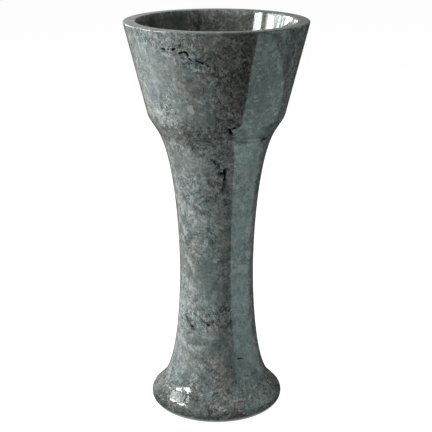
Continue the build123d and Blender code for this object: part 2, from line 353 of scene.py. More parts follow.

# Soft marks that the finish breaks up, by kind: half width in mm, strength, then azimuth and height of each point. The
# kinds shade and light are painted shade and painted light.
MARKS = {
    "vein": (
        (12, 0.42, (-46, 884, -35, 868, -27, 862, -19, 854, -12.5, 841, -5, 829)),
        (12, 0.36, (-44, 862, -34, 858, -24, 870)), (15, 0.52, (-18, 660, -2, 668, 6, 690, 16, 672, 22, 650)),
        (8, 0.85, (8, 690, 11.5, 683, 13.4, 665)), (7, 0.8, (22, 655, 30, 650)),
        (10, 0.75, (46, 660, 53.6, 654, 60, 658)), (8, 0.85, (-5, 614, -2.2, 609, 3, 595)),
        (8, 0.95, (3, 583, 8, 580, 11, 590)), (7, 0.85, (9, 580, 9.8, 559, 8.8, 542)),
        (15, 0.5, (-10, 560, 0, 552, 8, 560, 14, 530)), (7, 0.55, (12.9, 528, 9, 500, 13, 470)),
        (8, 0.9, (-52, 232, -41.3, 213, -36, 208)), (6, 0.8, (-20, 229, -11.8, 222, -6, 230)),
        (6, 0.6, (10, 262, 16, 285, 14, 300)), (5, 0.7, (17, 88, 24, 92, 40, 98, 58, 96)),
        (7, 0.8, (140, 860, 150, 842, 163, 822, 170, 800)), (7, 0.7, (-140, 430, -127, 400, -118, 372)),
    ),
    "wisp": (
        (7, 1, (36, 344, 39.7, 351, 47, 351, 56.5, 343, 50, 338)), (6, 0.9, (21, 338, 28, 345, 39.7, 351)),
        (5, 0.8, (-34.8, 851, -32.6, 849)), (6, 0.5, (-47, 874, -42, 861)), (10, 1, (-19.8, 734, -19, 728)),
        (9, 0.7, (-58, 724, -52, 716, -48, 712)), (9, 0.6, (-40, 707, -33, 700)),
        (9, 0.62, (-75, 512, -62, 498, -55, 478)), (8, 0.64, (-68, 462, -58, 446, -52, 428)),
        (8, 0.6, (-48, 372, -42, 356, -38, 343)), (10, 0.6, (-55, 320, -40, 305, -30, 296)),
        (9, 0.7, (-58, 176, -48, 166, -35, 160, -22, 168)), (8, 0.8, (-160, 640, -150, 612, -146, 590)),
    ),
    "warm": (
        (30, 0.75, (-6, 205, 2, 185, 8, 165)), (34, 0.85, (-2, 120, 8, 90, 12, 60, 16, 36)),
        (26, 0.8, (0, 430, 10, 400, 8, 372)), (26, 0.75, (2, 470, 12, 500, 6, 520)),
        (34, 0.55, (0, 640, -6, 618, 6, 596)), (26, 0.75, (2, 722, 8, 712, 5, 700)),
        (55, 0.95, (-10, 862, 8, 842, 18, 806, 12, 770, 16, 730)), (45, 0.6, (-34, 830, -24, 790, -8, 750)),
        (30, 0.45, (-62, 60, -54, 40, -46, 22)), (30, 0.45, (52, 110, 66, 70, 74, 40)),
        (36, 0.6, (-170, 520, -178, 470, 172, 440)), (36, 0.5, (120, 760, 130, 800, 124, 830)),
    ),
    "curd": (
        (34, 1, (-60, 690, -30, 668, -8, 640, 8, 600, 14, 560, 30, 540)),
        (24, 1, (-52, 892, -36, 880, -20, 858, -6, 834)), (24, 0.6, (-50, 236, -34, 214, -12, 222, 6, 236)),
        (30, 0.35, (-20, 50, 10, 40, 40, 34)), (30, 0.8, (10, 800, 16, 760, 10, 712)),
        (30, 0.8, (150, 840, 170, 760, 200, 700)),
    ),
    "calm": (
        (40, 1, (-34, 835, -24, 800, -22, 750)), (30, 1, (-44, 820, -42, 780)), (22, 1, (-28, 612, -12, 592)),
        (40, 0.75, (-45, 340, -20, 310, 10, 300)), (40, 0.85, (-45, 160, -10, 160, 20, 130)),
        (26, 0.8, (60, 590, 50, 560, 56, 520)),
    ),
    # Painted shade: darkens the stone's colour on the bowl's front, under the neck's bevel, down the column's left and
    # at both sides of the foot.
    "shade": (
        (60, 1, (18, 880, 22, 830, 24, 780, 22, 740)), (40, 0.6, (2, 850, 8, 800, 12, 750)),
        (30, 0.95, (-62, 664, -42, 664, -24, 662)), (26, 1, (-62, 40, -44, 40, -28, 56)),
        (22, 0.9, (70, 24, 80, 40, 74, 56)), (34, 0.45, (-64, 660, -50, 635, -56, 600)),
        (30, 0.45, (-66, 420, -50, 390, -54, 350)),
    ),
    # Painted light: lightens the stone's colour on the bowl's lit left and down the column's left, front and right.
    "light": (
        (30, 0.6, (-50, 560, -40, 520, -46, 490)), (60, 0.9, (-50, 850, -45, 790, -40, 735)),
        (90, 0.9, (10, 600, 10, 500, 10, 300, 10, 180)), (60, 1, (-52, 240, -50, 150)),
        (90, 1, (60, 600, 60, 500, 60, 300, 60, 180)),
    ),
}


def outer_radius(z):
    """Radius of the stone's outer face at height z, in metres, near enough to place a mark."""
    shape = bpy.context.scene.planter_shape
    edge_z = NECK_Z + shape.bevel_rise
    if z >= edge_z:
        share = (z - edge_z) / (RIM_Z - edge_z)
        return shape.neck_r + shape.bevel_out + share * (shape.rim_r - shape.neck_r - shape.bevel_out)
    if z >= NECK_Z:
        return shape.neck_r + shape.bevel_out * (z - NECK_Z) / shape.bevel_rise
    low, high = 0.0, 1.0
    waist_z = ANKLE_Z + shape.waist_height
    if z >= ANKLE_Z:
        upper = z > waist_z
        ends = column_curve(upper)
        for _ in range(24):
            t = (low + high) / 2
            if (bezier(ends, t)[1] < z) == (ends[0][1] < ends[3][1]):
                low = t
            else:
                high = t
        return bezier(ends, (low + high) / 2)[0]
    equator_z = FOOT_BOTTOM_Z + shape.foot_lower_r
    drop = z - equator_z
    rounding = shape.foot_upper_r if drop > 0 else shape.foot_lower_r
    straight = ANKLE_Z - z + shape.ankle_r
    arc = FOOT_R - rounding + math.sqrt(max(0.0, rounding ** 2 - drop ** 2))
    return arc if drop < rounding * math.sin(SHOULDER) else straight


def bezier(ends, t):
    a, b, c, d = (Vector(p) for p in ends)
    s = 1 - t
    return a * s ** 3 + b * (3 * s * s * t) + c * (3 * s * t * t) + d * t ** 3


def column_curve(upper):
    """The column's outline in two curves, each from the waist to its end."""
    shape = bpy.context.scene.planter_shape
    bed = NECK_Z - COLUMN_TOP_Z
    waist = Vector((shape.waist_r, ANKLE_Z + shape.waist_height))
    if upper:
        slope = Vector((shape.bevel_out, shape.bevel_rise))
        end = Vector((shape.neck_r - bed * shape.bevel_out / shape.bevel_rise, COLUMN_TOP_Z))
        return waist, waist + Vector((0, 0.070)), end - slope.normalized() * 0.077, end
    end = Vector((shape.ankle_r - bed, COLUMN_BOTTOM_Z))
    lean = Vector((-math.sin(SHOULDER), math.cos(SHOULDER)))
    return waist, waist - Vector((0, 0.055)), end + lean * 0.0544, end


def on_face(azimuth, height_mm):
    """Point on the outer face, in metres, from azimuth and height."""
    z = height_mm / 1000
    a, r = math.radians(azimuth), outer_radius(z)
    return Vector((r * math.sin(a), -r * math.cos(a), z))


def chips_along(r, z, count, seed):
    """Small worn chips along a turned edge at (r, z), at seeded places."""
    dice = np.random.default_rng(seed)
    return [(Vector((r * math.sin(a), -r * math.cos(a), z)),) * 2 + (size, size * CHIP_SINK)
            for a, size in zip(dice.uniform(0, 2 * math.pi, count), dice.uniform(*CHIP_SIZES, count))]


def distance_to(points, start, end):
    """Distance of many points from one short straight line."""
    start, along = np.array(start), np.array(end) - np.array(start)
    share = np.clip(((points - start) @ along) / max(along @ along, 1e-12), 0, 1)
    return np.linalg.norm(points - (start + share[:, None] * along), axis=1)


def read(items, name):
    """One row of three numbers for each vertex or face."""
    flat = np.empty(len(items) * 3)
    items.foreach_get(name, flat)
    return flat.reshape(-1, 3)


def refine_near(obj, dents):
    """Subdivides the faces of a drum near each dent."""
    pick(obj)
    mesh = obj.data
    centres = read(mesh.polygons, "center")
    near = np.zeros(len(centres), bool)
    for start, end, size, _ in dents:
        near |= distance_to(centres, start, end) < size + DENT_REACH
    enter("EDIT")
    bpy.ops.mesh.select_mode(type="FACE")
    bpy.ops.mesh.select_all(action="DESELECT")
    enter("OBJECT")
    mesh.polygons.foreach_set("select", near)
    enter("EDIT")
    bpy.ops.mesh.subdivide(number_cuts=3)
    bpy.ops.mesh.select_mode(type="VERT")
    enter("OBJECT")


def store(mesh, name, values):
    mesh.attributes.new(name, "FLOAT", "POINT").data.foreach_set("value", np.clip(values, 0, 1).astype(np.float32))


def weather(obj, chips=()):
    """Sinks pits and chips, leaves the faces a little wavy and stores where the marks lie."""
    shape = bpy.context.scene.planter_shape
    low_z, high_z = obj.bound_box[0][2], obj.bound_box[6][2]
    pits = [(on_face(turn, height), on_face(end_turn, end_height), half * PIT_SPREAD / 1000, half * PIT_SINK / 1000)
            for turn, height, end_turn, end_height, half in PITS
            if low_z + PIT_MARGIN < end_height / 1000 < high_z - PIT_MARGIN]
    dents = pits + list(chips)
    if dents:
        refine_near(obj, dents)
    mesh = obj.data
    co = read(mesh.vertices, "co")

    # Vertices of a refined patch lie on flat facets, so they go back out to the round.
    radius = np.hypot(co[:, 0], co[:, 1])
    step = 2 * math.pi / AROUND
    off = (np.arctan2(co[:, 1], co[:, 0]) / step) % 1.0
    off = (off - 0.5) * step
    swell = np.where(np.abs(np.abs(off) - step / 2) < step * 0.02, 1.0, np.cos(off) / math.cos(step / 2))
    outside = radius > shape.core_r + OUTER_FROM
    co[outside, :2] *= swell[outside, None]

    # The bores and the level faces stay true, and the rest is a little wavy.
    normals = read(mesh.vertices, "normal")
    side = outside & (np.abs(normals[:, 2]) < LEVEL)
    wave = np.array([noise.fractal(Vector(p) * WAVE_RATE, 0.9, 2.1, 2) for p in co])
    depth = np.where(side, shape.waviness * np.clip(0.5 + 0.5 * wave, 0, 1.2), 0.0)

    pit_at = np.zeros(len(co))
    for index, (start, end, size, sink) in enumerate(dents):
        gap = distance_to(co, start, end)
        for i in np.nonzero(gap < size * RAGGED_REACH)[0]:
            rough = noise.noise(Vector(co[i]) * RAGGED_RATE + Vector((index, 0, 0)))
            share = max(0.0, 1.0 - gap[i] / (size * (1.0 + RAGGED * rough)))
            steep = min(1.0, PIT_STEEP * share) if index < len(pits) else share
            depth[i] = max(depth[i], sink * steep * steep * (3 - 2 * steep))
            if index < len(pits):
                pit_at[i] = max(pit_at[i], min(1.0, PIT_DARK * share))
    co -= normals * depth[:, None]
    mesh.vertices.foreach_set("co", co.ravel())

    for kind, marks in MARKS.items():
        field = np.zeros(len(co))
        for half_width, strength, points in marks:
            line = [np.array(on_face(*point)) for point in zip(points[::2], points[1::2])]
            for a, b in zip(line, line[1:]):
                gap = distance_to(co, a, b) / (half_width / 1000)
                field = np.maximum(field, strength * np.exp(-gap ** 2))
        store(mesh, kind, field)
    store(mesh, "pit", pit_at)
    # Where the darker, warmer inside tint lies: the bowl's inner faces below the rim.
    inward = (co[:, 0] * normals[:, 0] + co[:, 1] * normals[:, 1]) < 0.1 * radius
    below_rim = (RIM_Z - CLEAN_RIM - co[:, 2]) / INSIDE_TINT_FADE
    store(mesh, "inside", np.where(inward & (low_z > NECK_Z - 0.001), below_rim, 0.0))
    mesh.update()


# ---- finishes

class Nodes:
    """A node tree that is built up in plain steps."""

    def __init__(self, tree):
        self.nodes, self.links = tree.nodes, tree.links

    def put(self, value, socket):
        if isinstance(value, bpy.types.NodeSocket):
            self.links.new(value, socket)
        elif value is not None:
            socket.default_value = value

    def node(self, kind, *values, **settings):
        """New shader node, with values or links for its sockets in order; None leaves a socket as it is."""
        node = self.nodes.new("ShaderNode" + kind)
        for name, value in settings.items():
            setattr(node, name, value)
        for value, socket in zip(values, node.inputs):
            self.put(value, socket)
        return node

    def math(self, operation, *values):
        return self.node("Math", *values, operation=operation).outputs[0]

    plus = partialmethod(math, "ADD")
    less = partialmethod(math, "SUBTRACT")
    times = partialmethod(math, "MULTIPLY")
    times_plus = partialmethod(math, "MULTIPLY_ADD")

    def step(self, value, low, high, out_low=0.0, out_high=1.0):
        """Smooth step from low to high."""
        return self.node("MapRange", value, low, high, out_low, out_high, interpolation_type="SMOOTHSTEP").outputs[0]

    def seen_share(self, amount):
        """amount for camera, glossy and transmission rays, and nothing for the rest."""
        rays = self.node("LightPath").outputs
        mirrored = self.math("MAXIMUM", rays["Is Camera Ray"], rays["Is Glossy Ray"])
        return self.times(self.math("MAXIMUM", mirrored, rays["Is Transmission Ray"]), amount)


class Finish(Nodes):
    """A material whose patterns follow the object's own coordinates."""

    def __init__(self, name):
        self.material = bpy.data.materials.new(name)
        self.material.use_nodes = True
        super().__init__(self.material.node_tree)
        self.shader = self.nodes["Principled BSDF"]
        self.place = self.node("TexCoord").outputs["Object"]

    def shift(self, vector, by, amount):
        """Moves a vector by a colour noise, centred, times amount."""
        centred = self.node("VectorMath", by, (0.5, 0.5, 0.5), operation="SUBTRACT").outputs[0]
        return self.node("VectorMath", centred, (amount,) * 3, vector, operation="MULTIPLY_ADD").outputs[0]

    def laid(self, scale=(1, 1, 1), turn=(0, 0, 0), vector=None):
        turned = [math.radians(x) for x in turn]
        return self.node("Mapping", vector or self.place, None, turned, scale).outputs[0]

    def parts(self, vector=None):
        """X, Y and Z of a vector."""
        return self.node("SeparateXYZ", vector or self.place).outputs

    def noise(self, scale, detail=3.0, rough=0.5, twist=0.0, vector=None, colour=False):
        node = self.node("TexNoise", vector or self.place)
        for name, value in (("Scale", scale), ("Detail", detail), ("Roughness", rough), ("Distortion", twist)):
            node.inputs[name].default_value = value
        return node.outputs["Color" if colour else "Fac"]

    def cells(self, scale, vector):
        """One random tone for each round cell."""
        node = self.node("TexVoronoi", vector)
        node.inputs["Scale"].default_value = scale
        return self.node("SeparateColor", node.outputs["Color"]).outputs[0]

    def near_middle(self, value, width, middle=0.5):
        """1 where a value crosses its middle, fading out over the width: thin wandering lines."""
        return self.step(self.math("ABSOLUTE", self.less(value, middle)), width, width * 0.2)

    def stored(self, name):
        return self.node("Attribute", attribute_name=name).outputs["Fac"]

    def mix(self, share, first, second, blend="MIX"):
        node = self.node("Mix", share, data_type="RGBA", blend_type=blend)
        self.put(self.rgba(first), node.inputs[6])
        self.put(self.rgba(second), node.inputs[7])
        return node.outputs[2]

    def tinted(self, shade, tint):
        return self.mix(1.0, shade, tint, "MULTIPLY")

    @staticmethod
    def rgba(value):
        return value if isinstance(value, bpy.types.NodeSocket) else (*value[:3], 1.0)

    def ramp(self, value, *stops):
        node = self.node("ValToRGB", value)
        bar = node.color_ramp
        while len(bar.elements) < len(stops):
            bar.elements.new(0.5)
        for element, (place, shade) in zip(bar.elements, stops):
            element.position, element.color = place, (*shade[:3], 1.0)
        return node.outputs[0]

    def bump(self, height, distance, strength, below=None):
        node = self.node("Bump", strength, distance)
        self.put(height, node.inputs["Height"])
        self.put(below, node.inputs["Normal"])
        self.put(node.outputs[0], self.shader.inputs["Normal"])
        return node.outputs[0]

    def coat(self, colour, rough, metal=0.0, ior=1.5):
        for name, value in (("Base Color", self.rgba(colour)), ("Roughness", rough), ("Metallic", metal), ("IOR", ior)):
            self.put(value, self.shader.inputs[name])
        return self.material


def toned(colour, share):
    return [tone * share for tone in colour]


def polished_stone():
    """Grey-green curdled marble with warm patches, pale flecks, dark veins and open pits, with painted shade in the
    pits and broad marks of painted shade and painted light.
    """
    look = bpy.context.scene.stone_finish
    f = Finish("polished_stone")
    drift = f.shift(f.place, f.noise(13.0, 3.0, 0.55, colour=True), 0.030)
    curl = f.shift(drift, f.noise(62.0, 3.0, 0.6, colour=True), 0.014)
    slant = f.laid((1.0, 1.0, 0.72), (0, 38, 0), curl)
    clouds = f.noise(8.0, 3.0, 0.55, 0.3, drift)
    streaks = f.noise(34.0, 4.0, 0.60, 0.6, slant)
    mottle = f.noise(95.0, 4.0, 0.70, 0.8, curl)
    grain = f.noise(330.0, 3.0, 0.75, 0.7, f.laid((1.0, 1.0, 0.7), (0, 38, 0)))
    crumbs = f.cells(185.0, f.shift(curl, f.noise(240.0, 2.0, 0.6, colour=True), 0.005))
    clots = f.cells(84.0, curl)

    # The curdled look is stronger in some places and nearly polished away in others.
    busy = f.times_plus(f.stored("curd"), 0.35, f.noise(14.0, 3.0, 0.55, 0.4, drift))
    busy = f.step(f.times_plus(f.stored("calm"), -0.25, busy), 0.36, 0.62, 0.45, 1.15)
    fine = 0.0
    for layer, weight in ((mottle, 0.90), (grain, 1.00), (crumbs, 0.22), (clots, 0.16)):
        fine = f.times_plus(f.less(layer, 0.5), weight, fine)
    tone = f.times_plus(fine, busy, 0.5)
    for layer, weight in ((clouds, 0.42), (streaks, 0.55)):
        tone = f.times_plus(f.less(layer, 0.5), weight, tone)
    # Painted shade and painted light: the shade marks darken the tone and the light marks lighten it.
    tone = f.times_plus(f.stored("shade"), -0.21, tone)
    tone = f.times_plus(f.stored("light"), 0.10, tone)
    shade = f.ramp(tone, (0.12, look.deep), (0.50, look.body), (0.90, look.pale))

    hue = f.times_plus(f.less(mottle, 0.5), 0.5, f.noise(27.0, 4.0, 0.65, 0.5, drift))
    tint = f.mix(f.step(hue, 0.36, 0.66), (0.92, 1.01, 1.03), (1.02, 1.0, 0.955))
    shade = f.tinted(shade, tint)
    # Painted light tints the colour teal where the light marks lie, and painted shade tints it warm where the shade
    # marks lie.
    shade = f.mix(f.stored("light"), shade, f.tinted(shade, (0.955, 1.0, 1.0)))
    shade = f.mix(f.stored("shade"), shade, f.tinted(shade, (1.05, 1.0, 0.95)))
    warm_noise = f.noise(16.0, 5.0, 0.6, 0.4, curl)
    warm = f.plus(f.stored("warm"), f.times(f.less(warm_noise, 0.64), 2.4))
    warm_tint = f.mix(0.22, f.tinted(shade, (1.13, 0.99, 0.93)), look.taupe)
    shade = f.mix(f.step(warm, 0.10, 0.95, 0.0, 0.8), shade, warm_tint)

    fleck = f.times(f.step(crumbs, 0.80, 0.86), f.step(streaks, 0.46, 0.58))
    shade = f.mix(f.times(fleck, 0.45), shade, look.fleck)

    # Thin dark and pale lines that curl between the flecks.
    dark_line = f.times(f.near_middle(f.noise(46.0, 3.0, 0.60, 0.8, curl), 0.035), busy)
    shade = f.mix(f.times(dark_line, 0.58), shade, look.vein)
    pale_line = f.times(f.near_middle(f.noise(58.0, 3.0, 0.60, 0.9, slant), 0.030, 0.53), busy)
    shade = f.mix(f.times(pale_line, 0.30), shade, look.fleck)

    ragged = f.times(f.less(f.noise(150.0, 4.0, 0.70, 1.0), 0.5), 2.4)
    wisp = f.step(f.plus(f.stored("wisp"), ragged), 0.42, 0.66)
    shade = f.mix(f.times(wisp, 0.62), shade, look.fleck)
    vein = f.step(f.plus(f.stored("vein"), ragged), 0.55, 0.74)
    shade = f.mix(f.times(vein, 0.90), shade, look.vein)
    # Painted shade: the open pits take the near-black colour of the shade inside them.
    pit = f.step(f.times_plus(ragged, 0.30, f.stored("pit")), 0.14, 0.34)
    pit = f.times(pit, f.math("GREATER_THAN", f.stored("pit"), 0.01))
    shade = f.mix(pit, shade, look.void)
    # Darker and warmer inside the bowl, from just below the rim down.
    inside_tint = f.times(f.stored("inside"), f.step(f.noise(11.0, 4.0, 0.6, 0.4), 0.25, 0.75, 0.55, 0.95))
    shade = f.mix(inside_tint, shade, f.tinted(shade, look.inside_tint))

    rough = f.step(mottle, 0.35, 0.75, look.polish, look.polish + 0.04)
    rough = f.plus(rough, f.times(f.math("MAXIMUM", vein, pit), 0.45))
    f.bump(f.noise(22.0, 2.0, 0.5), 0.00008, 0.5,
           f.bump(f.less(grain, f.times(vein, 4.0)), 0.000007, 0.5))
    return f.coat(shade, rough, ior=1.37)


def joint_resin():
    look = bpy.context.scene.fitting_finish
    f = Finish("joint_resin")
    grit = f.noise(420.0, 5.0, 0.7)
    shade = f.ramp(grit, (0.3, toned(look.resin, 0.6)), (0.7, toned(look.resin, 1.4)))
    f.bump(grit, 0.0002, 0.8)
    return f.coat(shade, f.step(grit, 0.2, 0.8, 0.65, 0.9))


def worn_brass():
    """Brass with fine turning lines, tarnish and rubbed places."""
    look = bpy.context.scene.fitting_finish
    f = Finish("worn_brass")
    film = f.noise(60.0, 6.0, 0.65, 0.6)
    blotch = f.noise(240.0, 4.0, 0.6)
    share = f.step(f.times_plus(blotch, 0.35, f.times(film, 0.75)), 0.46, 0.70)
    shade = f.mix(share, look.brass, look.tarnish)
    x, y, z = f.parts()
    reach = f.math("SQRT", f.plus(f.math("POWER", x, 2.0), f.math("POWER", y, 2.0)))
    lines = f.noise(2600.0, 2.0, 0.6, 0.0, f.node("CombineXYZ", reach, z).outputs[0])
    f.bump(lines, 0.00002, 0.6, f.bump(blotch, 0.00004, 0.5))
    rough = f.times_plus(share, 0.26, f.step(lines, 0.3, 0.7, 0.20, 0.30))
    return f.coat(shade, rough, metal=1.0)


def pin_steel():
    look = bpy.context.scene.fitting_finish
    f = Finish("pin_steel")
    drawn = f.noise(900.0, 4.0, 0.6, 0.0, f.laid((1, 1, 0.04)))
    dirt = f.noise(150.0, 5.0, 0.65)
    shade = f.mix(f.step(dirt, 0.45, 0.75), look.steel, toned(look.steel, 0.45))
    f.bump(drawn, 0.00003, 0.7)
    return f.coat(shade, f.step(drawn, 0.3, 0.7, 0.25, 0.42), metal=1.0)


def seal_rubber():
    look = bpy.context.scene.fitting_finish
    f = Finish("seal_rubber")
    dust = f.noise(130.0, 6.0, 0.7)
    grain = f.noise(1500.0, 3.0, 0.6)
    shade = f.mix(f.step(dust, 0.48, 0.78), look.rubber, toned(look.rubber, 2.6))
    f.bump(grain, 0.00004, 0.6)
    return f.coat(shade, f.step(dust, 0.3, 0.7, 0.55, 0.82))


def pipe_plastic():
    look = bpy.context.scene.fitting_finish
    f = Finish("pipe_white")
    dust = f.noise(50.0, 6.0, 0.65, 0.3)
    scuff = f.noise(700.0, 3.0, 0.6, 0.0, f.laid((1, 1, 0.08)))
    shade = f.mix(f.step(dust, 0.42, 0.78, 0.0, 0.6), look.plastic, toned(look.plastic, 0.72))
    f.bump(scuff, 0.00003, 0.5)
    return f.coat(shade, f.step(scuff, 0.3, 0.7, 0.32, 0.5))


def refinish(material, *nodes):
    """A CAD node keeps its shape and gets a worked-up finish."""
    for name in nodes:
        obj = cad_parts[name]
        obj.data.materials.clear()
        obj.data.materials.append(material)


# ---- operators

class PLANTER_OT_bowl(bpy.types.Operator):
    """Turn the conical stone bowl with its flat rim"""
    bl_idname = "planter.bowl"
    bl_label = "Bowl"
    bl_options = {"REGISTER", "UNDO"}

    def execute(self, context):
        s = context.scene.planter_shape
        inner_r = s.rim_r - s.rim_width
        edge = (s.neck_r + s.bevel_out, NECK_Z + s.bevel_rise)
        lean = (s.rim_r - edge[0]) / (RIM_Z - edge[1])
        side_z = FLANGE_TOP_Z + s.floor_fall
        floor_side = (inner_r - (RIM_Z - side_z) * lean, side_z)
        recess = FLANGE_R + s.flange_gap
        outline = Lathe("bowl_drum", (s.floor_hole_r, NECK_Z))
        outline.line((s.neck_r, NECK_Z), 0.012)
        outline.corner(edge, (s.rim_r, RIM_Z), s.lower_edge_r, 6, 0.0022)
        outline.corner((s.rim_r, RIM_Z), (inner_r, RIM_Z), s.rim_arris, 7, 0.0026)
        outline.corner((inner_r, RIM_Z), floor_side, s.rim_arris, 6, 0.0032)
        outline.corner(floor_side, (recess, FLANGE_TOP_Z), s.floor_corner_r, 14, 0.0046)
        outline.lines((recess, FLANGE_TOP_Z, 0.006), (recess, DRAIN_SEAT_Z, 0.003),
                      (s.floor_hole_r, DRAIN_SEAT_Z, 0.006))
        outline.close(0.008)
        outline.soften([(s.neck_r, NECK_Z), (recess, FLANGE_TOP_Z)], JOINT_ARRIS)
        obj = outline.spin()
        drill_for_pins(obj, "bowl_dowels", NECK_Z - OVERCUT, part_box("bowl_dowels")[1].z + PIN_HEADROOM)
        weather(obj, chips_along(s.rim_r - ARRIS_IN, RIM_Z - ARRIS_IN, 16, 11)
                + chips_along(inner_r + ARRIS_IN, RIM_Z - ARRIS_IN, 8, 12))
        smooth(obj)
        stand_for(obj, polished_stone(), "stone", "pedestal", "bowl")
        return {"FINISHED"}


class PLANTER_OT_column(bpy.types.Operator):
    """Turn the waisted stone column with its core"""
    bl_idname = "planter.column"
    bl_label = "Column"
    bl_options = {"REGISTER", "UNDO"}

    def execute(self, context):
        s = context.scene.planter_shape
        upper, lower = column_curve(True), column_curve(False)
        outline = Lathe("column_drum", (s.core_r, COLUMN_BOTTOM_Z))
        outline.line(lower[3], 0.02)
        outline.curve(lower[2], lower[1], lower[0], 72)
        outline.curve(upper[1], upper[2], upper[3], 90)
        outline.line((s.core_r, COLUMN_TOP_Z), 0.02)
        outline.close(0.05)
        outline.soften([lower[3], upper[3]], JOINT_ARRIS)
        obj = outline.spin()
        drill_for_pins(obj, "bowl_dowels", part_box("bowl_dowels")[0].z, COLUMN_TOP_Z + OVERCUT)
        drill_for_pins(obj, "foot_dowels", COLUMN_BOTTOM_Z - OVERCUT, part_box("foot_dowels")[1].z + PIN_HEADROOM)
        weather(obj)
        smooth(obj)
        stand_for(obj, bpy.data.materials["polished_stone"], "stone", "pedestal", "column")
        return {"FINISHED"}


class PLANTER_OT_foot(bpy.types.Operator):
    """Turn the bulbous stone foot and sink the recesses of its pads"""
    bl_idname = "planter.foot"
    bl_label = "Foot"
    bl_options = {"REGISTER", "UNDO"}

    def execute(self, context):
        s = context.scene.planter_shape
        underside_r = FOOT_R - s.foot_lower_r
        equator_z = FOOT_BOTTOM_Z + s.foot_lower_r
        outline = Lathe("foot_drum", (s.foot_bore_r, FOOT_BOTTOM_Z))
        outline.line((underside_r, FOOT_BOTTOM_Z), 0.008)
        outline.arc((underside_r, equator_z), 90, 18)
        outline.arc((FOOT_R - s.foot_upper_r, equator_z), 45, 8)
        outline.lines((s.ankle_r, ANKLE_Z, 0.0026), (s.foot_bore_r, ANKLE_Z, 0.02))
        outline.close(0.015)
        outline.soften([(s.ankle_r, ANKLE_Z)], JOINT_ARRIS)
        obj = outline.spin()
        drill_for_pins(obj, "foot_dowels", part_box("foot_dowels")[0].z, ANKLE_Z + OVERCUT)
        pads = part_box("floor_pads")[1]
        drill(obj, PAD_R + PAD_GAP, -OVERCUT, pads.z, (pads.x - PAD_R) * math.sqrt(2), 4, 45.0, 48)
        weather(obj, chips_along(underside_r + 0.010, FOOT_BOTTOM_Z + 0.0019, 7, 21))
        smooth(obj)
        stand_for(obj, bpy.data.materials["polished_stone"], "stone", "pedestal", "foot")
        return {"FINISHED"}


class PLANTER_OT_beds(bpy.types.Operator):
    """Fill the two joints with resin that is dressed flush with the stone"""
    bl_idname = "planter.beds"
    bl_label = "Joint beds"
    bl_options = {"REGISTER", "UNDO"}

    def execute(self, context):
        s = context.scene.planter_shape
        resin = joint_resin()
        neck_lean = s.bevel_out / s.bevel_rise
        joints = (("bowl_bed", "bowl_dowels", s.neck_r, COLUMN_TOP_Z, NECK_Z, neck_lean),
                  ("foot_bed", "foot_dowels", s.ankle_r, ANKLE_Z, COLUMN_BOTTOM_Z, -math.tan(SHOULDER)))
        for node, pin_node, radius, low, high, lean in joints:
            thick = high - low
            low_r = radius - (thick * lean if lean > 0 else 0) - BED_SHY
            bed = Lathe(node + "_fill", (s.core_r, low))
            bed.lines((low_r, low, 0.02), (low_r + lean * thick, high, 0.0004), (s.core_r, high, 0.02))
            bed.close()
            obj = bed.spin()
            drill_for_pins(obj, pin_node, low - thick, high + thick)
            smooth(obj)
            stand_for(obj, resin, "resin", "pedestal", node)
        return {"FINISHED"}


class PLANTER_OT_strainer(bpy.types.Operator):
    """Build the lift-out strainer with countersunk holes, and its turned knob"""
    bl_idname = "planter.strainer"
    bl_label = "Strainer and knob"
    bl_options = {"REGISTER", "UNDO"}

    def execute(self, context):
        brass = worn_brass()
        top, under = STRAINER_TOP_Z, STRAINER_TOP_Z - 0.0015
        hub_r, skirt_r, skirt_in = 0.00255, 0.017, 0.016
        hole_r, sink_r, sink = 0.0018, 0.0027, 0.0004
        plate = Lathe("strainer_plate", (hub_r, under))
        plate.lines((skirt_in, under, 0.003), (skirt_in, STRAINER_BOTTOM_Z, 0.004), (skirt_r, STRAINER_BOTTOM_Z),
                    (skirt_r, under, 0.004), (STRAINER_R - 0.0004, under, 0.003), (STRAINER_R, under + 0.0004))
        plate.corner((STRAINER_R, top), (hub_r, top), 0.0007, 5)
        plate.line((hub_r, top), 0.003)
        plate.close()
        obj = plate.spin(128)
        for ring_r, count in ((0.0080, 6), (0.0126, 12)):
            for i in range(count):
                angle = math.radians(90.0 + 360.0 * i / count)
                tool = Lathe("countersink", (0.0, under - 0.001))
                tool.lines((hole_r, under - 0.001), (hole_r, top - sink),
                           (sink_r, top + 0.0005), (0.0, top + 0.0005))
                tool.close()
                cutter = tool.spin(28)
                pick(cutter)
                bpy.ops.transform.translate(value=(ring_r * math.cos(angle), ring_r * math.sin(angle), 0))
                cut_away(obj, cutter)
        smooth(obj, 30)
        stand_for(obj, brass, "brass", "strainer", "drain_strainer")

        shank_r, collar_r = 0.0025, 0.0046
        knob = Lathe("strainer_knob", (0.0, PULL_BOTTOM_Z))
        knob.corner((collar_r, PULL_BOTTOM_Z), (collar_r, under), 0.0008, 4)
        knob.lines((collar_r, under), (shank_r, under), (shank_r, top, 0.0008), (collar_r, top))
        knob.corner((collar_r, top + 0.0012), (0.0028, top + 0.0014), 0.0004, 3)
        knob.curve((0.0022, top + 0.0016), (0.0021, top + 0.0052), (0.0037, top + 0.0081), 12)
        ball_z = PULL_TOP_Z - 0.0065
        knob.line((0.00450, ball_z - 0.00469))
        knob.arc((0.0, ball_z), 46.2, 10)
        knob.lines((0.00615, ball_z + 0.0003), (0.00648, ball_z + 0.0006))
        knob.curve((0.0062, ball_z + 0.0042), (0.0034, PULL_TOP_Z), (0.0, PULL_TOP_Z), 14)
        knob.close()
        obj = knob.spin(64)
        smooth(obj, 40)
        stand_for(obj, brass, "brass", "strainer", "strainer_pull")
        return {"FINISHED"}


